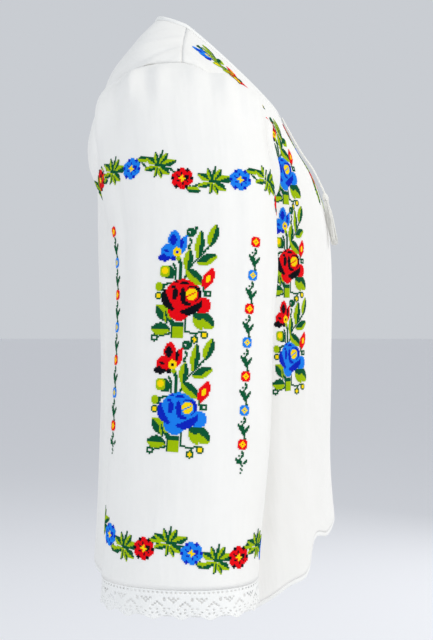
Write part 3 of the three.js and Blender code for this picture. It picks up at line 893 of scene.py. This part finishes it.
def rose_motif(bloom, bloom_deep, rose, rose_deep):
    """Tall spray: a bell flower and long leaves above a full rose, berries below."""
    c = {}
    stroke(c, [(18, 22), (20, 27), (20, 38)], "g", 2)
    stroke(c, [(15, 27), (17, 31), (17, 38)], "g")
    stroke(c, [(41, 14), (36, 20), (30, 26), (26, 31), (24, 38)], "g")
    stroke(c, [(27, 31), (28, 24), (28, 18), (26, 15), (28, 12), (27, 9)], "g")
    oval(c, 27.5, 4.5, 3.1, 3.1, "g")
    oval(c, 26.8, 4.2, 1.1, 1.1, None)
    stroke(c, [(30, 5), (31, 1)], "g", 2)
    leaf(c, (33, 23), (35, 4), 3.1, "l", "g")
    leaf(c, (41, 14), (46, 0), 3.4, "l", "g")
    leaf(c, (25, 31), (27, 17), 3.3, "l", "g")
    leaf(c, (33, 26), (46, 21), 3.6, "g", "l")
    oval(c, 38, 24, 3.6, 1.5, "g", -20)
    leaf(c, (25, 31), (37, 41), 4.2, "g", "l")
    # bell flower
    oval(c, 15, 9, 4.2, 6.2, bloom, 8)
    oval(c, 21, 14, 3.2, 7.0, bloom, 20)
    oval(c, 11, 18, 5.4, 6.0, bloom, 30)
    stroke(c, [(22, 8), (25, 7)], bloom, 1)
    oval(c, 8, 22.5, 4.2, 2.6, bloom_deep, 6)
    oval(c, 14.5, 9.5, 2.6, 3.7, bloom_deep, 6)
    oval(c, 20.8, 12, 1.2, 4.0, bloom_deep, 4)
    oval(c, 9.5, 17.5, 2.0, 1.2, bloom_deep, 25)
    oval(c, 15, 23, 2.6, 1.2, bloom_deep)
    oval(c, 11.5, 20, 1.3, 2.2, bloom, 30)
    oval(c, 17.5, 18.5, 2.9, 3.7, "y", -15)
    oval(c, 17.5, 18.8, 0.8, 1.2, bloom_deep)
    oval(c, 18.5, 23, 1.8, 1.4, "l")
    # bud at the left, bud at the right
    leaf(c, (15, 37), (8, 29), 4.6, "g", "g")
    oval(c, 9, 32.5, 4.0, 4.4, "l")
    oval(c, 9, 31.8, 2.5, 2.6, "y")
    leaf(c, (38, 44), (44, 30), 3.6, "r", "r")
    oval(c, 41.2, 37, 1.5, 3.0, "y", 18)
    stroke(c, [(38, 43), (39, 48)], "g")
    # small leaf, berry and curl
    stroke(c, [(13, 41), (8, 42), (7, 46)], "g", 2)
    oval(c, 5, 43.5, 2.5, 3.2, "l")
    berry(c, 5, 50)
    oval(c, 41, 47.5, 2.6, 2.4, "g")
    oval(c, 41.5, 47.5, 1.0, 1.0, None)
    # leaves round the foot of the rose
    leaf(c, (15, 67), (4, 57), 4.8, "g", "l")
    leaf(c, (12, 69), (10, 60), 1.6, "l", "g")
    leaf(c, (14, 74), (1, 73), 4.6, "l", "g")
    stroke(c, [(14, 67), (16, 72), (16, 78)], "g", 3)
    for i in range(16, 25):
        for j in range(69, 80):
            c[i, j] = "g" if j < 72 or i < 17 else "l"
    leaf(c, (32, 64), (38, 73), 2.6, "l", "l")
    leaf(c, (34, 62), (46, 71), 5.2, "g", "l")
    oval(c, 35, 64, 3.6, 2.0, "g", 20)
    stroke(c, [(26, 66), (26, 75), (33, 76), (37, 75), (40, 76)], "g")
    stroke(c, [(34, 76), (33, 80)], "g")
    berry(c, 40, 77)
    berry(c, 33, 80.5)
    oval(c, 3, 79.5, 2.6, 2.6, "g")
    oval(c, 3, 79.5, 1.2, 1.2, None)
    stroke(c, [(5, 79), (9, 78), (12, 77), (16, 76)], "g")
    # the rose
    oval(c, 20, 61.5, 7.8, 5.6, rose, 18)
    oval(c, 37.5, 56, 6.2, 6.0, rose)
    oval(c, 23.5, 49, 13.0, 11.0, rose, 8)
    oval(c, 33, 57, 6.0, 3.0, rose, -20)
    arc(c, 22.5, 48.5, 13.2, 12.2, 190, 118, rose_deep, 2.7)
    arc(c, 24.5, 47.5, 14.0, 13.6, 98, 28, rose_deep, 2.8)
    oval(c, 17.2, 48.5, 2.1, 4.1, rose_deep, 6)
    oval(c, 23.2, 49.5, 2.2, 5.6, rose_deep, -4)
    oval(c, 26, 55, 3.6, 1.4, rose_deep, 10)
    oval(c, 16, 43.2, 1.7, 1.2, rose_deep)
    oval(c, 24, 40.8, 3.1, 1.2, rose_deep)
    oval(c, 18, 39.8, 1.2, 1.0, rose_deep)
    arc(c, 30, 48.3, 5.6, 5.4, 235, 420, rose_deep, 1.1)
    oval(c, 29.8, 48.3, 4.0, 4.3, "y")
    for k in (-2, 0, 2):
        c[30 + k, 48 - k // 2] = c[29 + k, 49 - k // 2] = rose
    return {cell: thread for cell, thread in c.items() if thread}


def star_flower(c, x, y, light, deep):
    """Round flower of six petals about a yellow star."""
    for k in range(6):
        a = math.radians(60 * k + 15)
        px, py = x + 4.2 * math.cos(a), y + 4.4 * math.sin(a)
        oval(c, px, py, 3.3, 3.3, light)
        oval(c, x + 3.2 * math.cos(a + 0.45), y + 3.4 * math.sin(a + 0.45), 1.8, 1.5, deep)
        oval(c, x + 6.6 * math.cos(a - 0.3), y + 6.8 * math.sin(a - 0.3), 1.4, 1.1, deep)
    for k in (-2, -1, 0, 1, 2):
        c[round(x + k), round(y)] = c[round(x), round(y + k)] = "y"
    for k in (-1, 1):
        c[round(x + k), round(y + k)] = "y"


def leaf_spray(c, x, y):
    """A node of the vine with its leaves, three above and three below."""
    leaf(c, (x - 2, y - 1), (x - 10, y - 5), 2.4, "l", "g")
    leaf(c, (x - 1, y - 1), (x - 4, y - 9), 1.6, "l", "g")
    leaf(c, (x, y), (x + 1, y - 11), 0.9, "g", "g")
    leaf(c, (x + 1, y - 1), (x + 5, y - 9), 2.1, "l", "g")
    leaf(c, (x + 3, y - 1), (x + 12, y - 5), 2.6, "l", "g")
    leaf(c, (x + 2, y + 1), (x + 9, y + 5), 2.6, "g", "l")
    leaf(c, (x - 1, y + 1), (x - 9, y + 4), 2.2, "g", "l")
    leaf(c, (x, y + 1), (x - 1, y + 8), 1.2, "g", "l")
    leaf(c, (x + 1, y + 2), (x + 4, y + 8), 1.5, "g", "l")


def vine(flowers, pitch, rises, first, second):
    """Vine of flowers one pitch apart; rises are those of each flower and of the
    spray after it, for the two kinds in turn."""
    c = {}
    for k in range(flowers):
        x, y = k * pitch, rises[k % 2 * 2]
        spray_x, spray_y = x + pitch * 0.53, rises[k % 2 * 2 + 1]
        after = rises[(k + 1) % 2 * 2]
        way = 1 if spray_y > y else -1
        stroke(c, [(x, y), (x + 7, y + 6 * way), (x + 12, spray_y + 2), (spray_x, spray_y)], "g")
        stroke(c, [(spray_x, spray_y), (spray_x + 9, spray_y - way), (x + pitch, after)], "g")
        left, right = ("l", "g") if way > 0 else ("g", "l")
        leaf(c, (x + 4, y + 7 * way), (x + 13, y + 8 * way), 2.2, left, right)
        leaf_spray(c, round(spray_x), spray_y)
    for k in range(flowers):
        light, deep = second if k % 2 else first
        star_flower(c, k * pitch, rises[k % 2 * 2], light, deep)
    return c


GARLAND_PITCH = 24


def garland(count):
    """Thin upright garland of small ringed flowers with sprigs between."""
    c = {}
    for k in range(count):
        y = GARLAND_PITCH * k
        stroke(c, [(0, y + 4), (1, y + 7), (-1, y + 10), (0, y + 14), (1, y + 18), (0, y + 24)], "g")
        leaf(c, (0, y + 15), (-4, y + 10), 1.2, "g", "g")
        leaf(c, (0, y + 17), (4, y + 11), 1.2, "g", "g")
        oval(c, 0, y + 15, 1.2, 2.2, "g")
        c[-2, y + 8] = c[2, y + 20] = "g"
    for k in range(count):
        y, thread = GARLAND_PITCH * k, "rc"[k % 2]
        oval(c, 0, y, 4.1, 4.1, thread)
        oval(c, 0, y, 2.2, 2.2, "y")
        c[0, y] = thread
        for dx, dy in ((4, 0), (-4, 0), (0, 4), (0, -4)):
            c.pop((dx, y + dy), None)
    last = GARLAND_PITCH * (count - 1) + 13
    c = {cell: thread for cell, thread in c.items() if cell[1] <= last}
    for dx, dy in ((0, 1), (1, 2), (0, 4), (1, 5), (0, 7)):
        c[dx, last + dy] = "g"
    return c


# ---------------------------------------------------------------- laying stitches on the cloth
STITCH_LIFT = 0.16


def walk(form, a, b, steps, pitch, direction):
    """Rows of places one pitch apart, leaving a line of places at right angles."""
    out = [(a.copy(), b.copy())]
    da, db = 0.2, 0.002
    for _ in range(steps):
        here = form(a, b)
        pa = (form(a + da, b) - form(a - da, b)) / (2 * da)
        pb = (form(a, b + db) - form(a, b - db)) / (2 * db)
        normal = unit(np.cross(pa, pb))
        tangent = unit(np.gradient(here, axis=0))
        go = unit(np.cross(tangent, normal)) * pitch * direction
        e, f, g = np.sum(pa * pa, -1), np.sum(pa * pb, -1), np.sum(pb * pb, -1)
        u, v = np.sum(pa * go, -1), np.sum(pb * go, -1)
        det = e * g - f * f
        a = a + (g * u - f * v) / det
        b = b + (e * v - f * u) / det
        out.append((a.copy(), b.copy()))
    return out


def spaced(form, a, b, pitch):
    """Places one pitch apart down a line of places."""
    path = form(a, b)
    run = np.concatenate([[0], np.cumsum(np.linalg.norm(np.diff(path, axis=0), axis=-1))])
    where = np.arange(int(run[-1] / pitch)) * pitch
    return np.interp(where, run, a), np.interp(where, run, b)


class Stitches:
    """Places, turns and threads of one panel's cross-stitches; centre is inside it."""

    def __init__(self, centre):
        self.centre = centre
        self.points, self.turns, self.threads = [], [], []

    def lay(self, form, chart, a, b, reach, pitch, across_is_row=False, sides=(RIGHT,)):
        """Lays a chart along a line of places, reach stitches to each side of it."""
        plus = walk(form, a, b, reach, pitch, 1)
        minus = walk(form, a, b, reach, pitch, -1)
        rows = minus[:0:-1] + plus
        wide_a = np.array([r[0] for r in rows])
        wide_b = np.array([r[1] for r in rows])
        for side in sides:
            place = form(wide_a * -side, wide_b)
            run, fall = np.gradient(place, axis=1), np.gradient(place, axis=0)
            normal = unit(np.cross(run, fall))
            out = np.sum(normal * (place - self.centre(place)), -1, keepdims=True)
            normal = normal * np.where(out < 0, -1, 1)
            for (i, j), thread in chart.items():
                k, r = (i, reach - j) if across_is_row else (j, reach + i)
                if 0 <= r < place.shape[0] and 0 <= k < place.shape[1]:
                    n, t = normal[r, k], unit(run[r, k])
                    self.points.append(place[r, k] + n * STITCH_LIFT)
                    self.turns.append(Matrix((t, np.cross(n, t), n)).transposed().to_euler()[:])
                    self.threads.append(list(THREADS).index(thread))


def stitch_mesh():
    """One cross-stitch: two crossed strands, each a low roof."""
    half, wide, high = 0.70, 0.33, 0.36
    points, faces = [], []
    for way, lift in ((1, 0.0), (-1, 0.1)):
        d = np.array([half, half * way, 0])
        side = np.array([-way * wide, wide, 0])
        start = len(points)
        for end in (-0.98, 0.98):
            for across, z in ((-1, 0.0), (0, high + lift), (1, 0.0)):
                points.append(tuple(d * end + side * across + [0, 0, z]))
        faces += [(start, start + 3, start + 4, start + 1), (start + 1, start + 4, start + 5, start + 2)]
    made = mesh_object("stitch", points, faces, THREADS["r"], None, False)
    for face in made.data.polygons:
        if face.normal.z < 0:
            face.flip()
    return made


def stitch_tree():
    """Geometry Nodes: one stitch on each point, turned to the cloth, in its thread."""
    tree = bpy.data.node_groups.new("cross_stitches", "GeometryNodeTree")
    face = tree.interface
    face.new_socket("Geometry", in_out="INPUT", socket_type="NodeSocketGeometry")
    stitch = face.new_socket("Stitch", in_out="INPUT", socket_type="NodeSocketObject")
    face.new_socket("Geometry", in_out="OUTPUT", socket_type="NodeSocketGeometry")
    way_in, way_out = node(tree, "NodeGroupInput"), node(tree, "NodeGroupOutput")
    shape = node(tree, "GeometryNodeObjectInfo", None, Object=way_in.outputs["Stitch"])
    turn = node(tree, "GeometryNodeInputNamedAttribute", {"data_type": "FLOAT_VECTOR"}, Name="turn")
    thread = node(tree, "GeometryNodeInputNamedAttribute", {"data_type": "INT"}, Name="thread")
    placed = node(
        tree, "GeometryNodeInstanceOnPoints", None, Points=way_in.outputs["Geometry"],
        Instance=shape.outputs["Geometry"], Rotation=turn.outputs["Attribute"],
    )
    last = node(tree, "GeometryNodeRealizeInstances", None, Geometry=placed.outputs[0])
    for number, material in enumerate(THREADS.values()):
        same = node(
            tree, "FunctionNodeCompare", {"data_type": "INT", "operation": "EQUAL"},
            i2=thread.outputs["Attribute"], i3=number,
        )
        last = node(
            tree, "GeometryNodeSetMaterial", None, Geometry=last.outputs[0],
            Selection=same.outputs[0], Material=material,
        )
    tree.links.new(last.outputs[0], way_out.inputs[0])
    return tree, stitch.identifier


def sew(name, stitches, tree, socket, shape):
    """The stitches of one panel as a plain mesh."""
    mesh = bpy.data.meshes.new(name)
    mesh.from_pydata((np.array(stitches.points) * MM).tolist(), [], [])
    turn = mesh.attributes.new("turn", "FLOAT_VECTOR", "POINT")
    turn.data.foreach_set("vector", np.array(stitches.turns, np.float32).ravel())
    thread = mesh.attributes.new("thread", "INT", "POINT")
    thread.data.foreach_set("value", stitches.threads)
    made = bpy.data.objects.new(name, mesh)
    bpy.context.scene.collection.objects.link(made)
    sewing = made.modifiers.new("stitches", "NODES")
    sewing.node_group = tree
    sewing[socket] = shape
    made = applied(made)
    for extra in list(made.data.attributes):
        if extra.name in ("turn", "thread"):
            made.data.attributes.remove(extra)
    made.data.polygons.foreach_set("use_smooth", [False] * len(made.data.polygons))
    return made


# Stitches' pitch on the front, on the sleeve and on the sleeve's vines
BODY_PITCH, SLEEVE_PITCH, VINE_PITCH = 1.26, 1.30, 1.36
# The front's columns, off the middle, and how far a column reaches to each side in stitches
COLUMN_X, COLUMN_REACH = 146, 26
# The vine beside the slit: s at its ends, and mm off the middle there
SLIT_VINE_S, SLIT_VINE_X = (0.45, 2.9), (23, 44)
ROSE_ONE = rose_motif("c", "b", "r", "k")
ROSE_TWO = rose_motif("r", "k", "c", "b")
RED, BLUE = ("r", "k"), ("c", "b")


def column_chart(*starts):
    """The two sprays in turn, one under the other from the given rows."""
    chart = {}
    for k, start in enumerate(starts):
        for (i, j), thread in (ROSE_TWO if k % 2 else ROSE_ONE).items():
            chart[i - 24, j + start] = thread
    return chart


def turned(chart):
    """A chart the other way across, for the front."""
    return {(-i, j): thread for (i, j), thread in chart.items()}


def front_stitches():
    """Four sprays down each side of the front, and a short vine by the slit."""
    made = Stitches(lambda p: p * [0, 0, 1] + [0, -20, -30])
    both = (RIGHT, LEFT)
    # straight down the front from the shoulder seam, the same way from the middle
    s = np.linspace(0.54, 5.4, 900)
    n, half = along(BODY, "n", s), along(BODY, "half", s)
    turn = np.degrees(np.arcsin(np.clip(COLUMN_X / half, 0, 1) ** (n / 2)))
    keep = turn < 89.4
    a, b = spaced(body_cloth, turn[keep], s[keep], BODY_PITCH)
    chart = turned(column_chart(0, 92, 172, 252))
    made.lay(body_cloth, chart, a, b, COLUMN_REACH, BODY_PITCH, False, both)
    # the narrow vine beside the slit
    s = np.linspace(*SLIT_VINE_S, 300)
    reach = np.interp(s, SLIT_VINE_S, SLIT_VINE_X)
    turn = np.degrees(np.arcsin((reach / along(BODY, "half", s)) ** (along(BODY, "n", s) / 2)))
    a, b = spaced(body_cloth, turn, s, BODY_PITCH)
    chart = {(j, i + 9): c for (i, j), c in vine(3, 27, (0, 0, 0, 0), RED, BLUE).items()}
    made.lay(body_cloth, turned(chart), a, b, 12, BODY_PITCH, False, both)
    return made


def level_line(form, angle, levels):
    """Places round the sleeve at the wanted depths below the neck, by angle."""
    t = np.linspace(0.4, 5.55, 260)
    wide, deep = np.meshgrid(angle, t)
    height = form(wide, deep)[..., 2]
    wanted = np.interp(angle, *levels)
    return np.array([np.interp(wanted[k], -height[:, k], t) for k in range(len(angle))])


def sleeve_stitches():
    """Two sprays between two vines on the outer side, a garland before and behind."""
    made = Stitches(lambda p: p * [0, 0, 1] + [-272, -18, 0])
    t = np.linspace(1.4, 5.3, 500)

    def down_from(angles, depth):
        """A line down the sleeve from a depth, its angle changing evenly."""
        angle = np.interp(t, (2, 4.5), angles)
        height = -sleeve_cloth(angle, t)[:, 2]
        below = t >= np.interp(depth, height, t)
        return spaced(sleeve_cloth, angle[below], t[below], SLEEVE_PITCH)

    a, b = down_from((0, 0), 246)
    made.lay(sleeve_cloth, column_chart(0, 80), a, b, COLUMN_REACH, SLEEVE_PITCH)
    for angles, top in (((51, 46), 254), ((-71, -61), 241)):
        a, b = down_from(angles, top)
        chart = {(i, j + 5): c for (i, j), c in garland(7).items()}
        made.lay(sleeve_cloth, chart, a, b, 6, SLEEVE_PITCH)
    # the two vines meet at the seam on the inner side: heights at five angles round the
    # sleeve, flowers, stitches between them, their rises, and stitches moved forwards
    for heights, flowers, pitch, rises, ahead in (
        ((-264, -185, -200, -208, -264), 7, 40, (-2, -6, 1, 2), -1),
        ((-530, -532, -541, -548, -550), 9, 33, (1, 5, 2, -4), 14),
    ):
        angle = np.linspace(-178, 178, 357)
        depth_at = ((-178, -65, 0, 60, 178), [-z for z in heights])
        t_line = level_line(sleeve_cloth, angle, depth_at)
        path = sleeve_cloth(angle, t_line)
        run = np.concatenate([[0], np.cumsum(np.linalg.norm(np.diff(path, axis=0), axis=-1))])
        a, b = spaced(sleeve_cloth, angle, t_line, VINE_PITCH)
        middle = np.interp(0, angle, run) / VINE_PITCH + ahead
        start = round(middle - (flowers // 2) * pitch)
        chart = vine(flowers, pitch, rises, BLUE, RED)
        chart = {(i + start, j): c for (i, j), c in chart.items()}
        made.lay(sleeve_cloth, chart, a, b, 18, VINE_PITCH, True)
    return made


def hand_over(made, node_name):
    """Hangs a piece on the root and hides the solid it stands for."""
    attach(made, "root")
    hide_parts(node_name)


ties = {name: make_cord(side, f"tie_{name}") for name, side in SIDES.items()}
tufts = {name: make_tassel(side, f"tuft_{name}") for name, side in SIDES.items()}
front_cloth = make_panel("front_cloth", True)
back_cloth = make_panel("back_cloth", False)
arms = {name: make_sleeve(side, f"arm_{name}") for name, side in SIDES.items()}
laces = {name: make_lace(side, f"lace_{name}") for name, side in SIDES.items()}
neck_edging = make_band()
hem_front = make_hem_edging(True, "hem_trim_front")
hem_back = make_hem_edging(False, "hem_trim_back")

# The embroidery is on the panels and has no solid of its own; the left arm's is the
# right arm's, mirrored
shape = stitch_mesh()
tree, socket = stitch_tree()
sewn_front = sew("stitches_front", front_stitches(), tree, socket, shape)
sewn_right = sew("stitches_sleeve_right", sleeve_stitches(), tree, socket, shape)
sewn_left = sewn_right.copy()
sewn_left.data = sewn_right.data.copy()
sewn_left.name = sewn_left.data.name = "stitches_sleeve_left"
sewn_left.data.transform(Matrix.Scale(-1, 4, (1, 0, 0)))
sewn_left.data.flip_normals()
bpy.context.scene.collection.objects.link(sewn_left)
bpy.data.objects.remove(shape)
for sewn in (sewn_front, sewn_right, sewn_left):
    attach(sewn, "root")

for name in SIDES:
    hand_over(ties[name][0], f"tie_cord_{name}")
    hand_over(tufts[name], f"tassel_{name}")
    hand_over(arms[name], f"sleeve_{name}")
    hand_over(laces[name], f"cuff_lace_{name}")
hand_over(front_cloth, "front_panel")
hand_over(back_cloth, "back_panel")
hand_over(neck_edging, "neck_band")
hand_over(hem_front, "hem_edging_front")
hand_over(hem_back, "hem_edging_back")


# ---------------------------------------------------------------- floor and light
AIM = (0, 0, -0.33)
FLOOR_HALF, FLOOR_LEVEL = 60000, -1300


def add_lamp(name, place, watts, size, tint):
    """A square soft lamp aimed at the blouse's middle."""
    data = bpy.data.lights.new(name, "AREA")
    data.energy = watts
    data.size = size
    data.color = tint
    lamp = bpy.data.objects.new(name, data)
    bpy.context.scene.collection.objects.link(lamp)
    lamp.location = place
    lamp.rotation_euler = (Vector(AIM) - Vector(place)).to_track_quat("-Z", "Y").to_euler()


# Pale matt studio floor, far below the hem
floor_paint, _, shader = new_material("studio_floor", 0.95)
shader.inputs["Base Color"].default_value = colour("F4F4F6")
corners = [(x, y, FLOOR_LEVEL) for x in (-FLOOR_HALF, FLOOR_HALF) for y in (-FLOOR_HALF, FLOOR_HALF)]
floor = mesh_object("floor", corners, [(0, 2, 3, 1)], floor_paint, None, False)

world = bpy.data.worlds.new("studio")
bpy.context.scene.world = world
world.use_nodes = True
background = world.node_tree.nodes["Background"]
background.inputs["Color"].default_value = colour("E6EAF0")
background.inputs["Strength"].default_value = 0.74
add_lamp("key", (-0.9, -3.0, 1.5), 46, 1.2, (1.0, 0.965, 0.90))
add_lamp("fill", (-3.2, 0.5, 0.9), 26, 1.4, (0.955, 0.98, 1.0))
add_lamp("back", (1.6, 2.6, 1.4), 9, 1.8, (0.92, 0.96, 1.0))
add_lamp("side", (2.8, -1.2, 0.6), 20, 1.8, (1.0, 1.0, 1.0))
bpy.context.scene.view_settings.view_transform = "Standard"
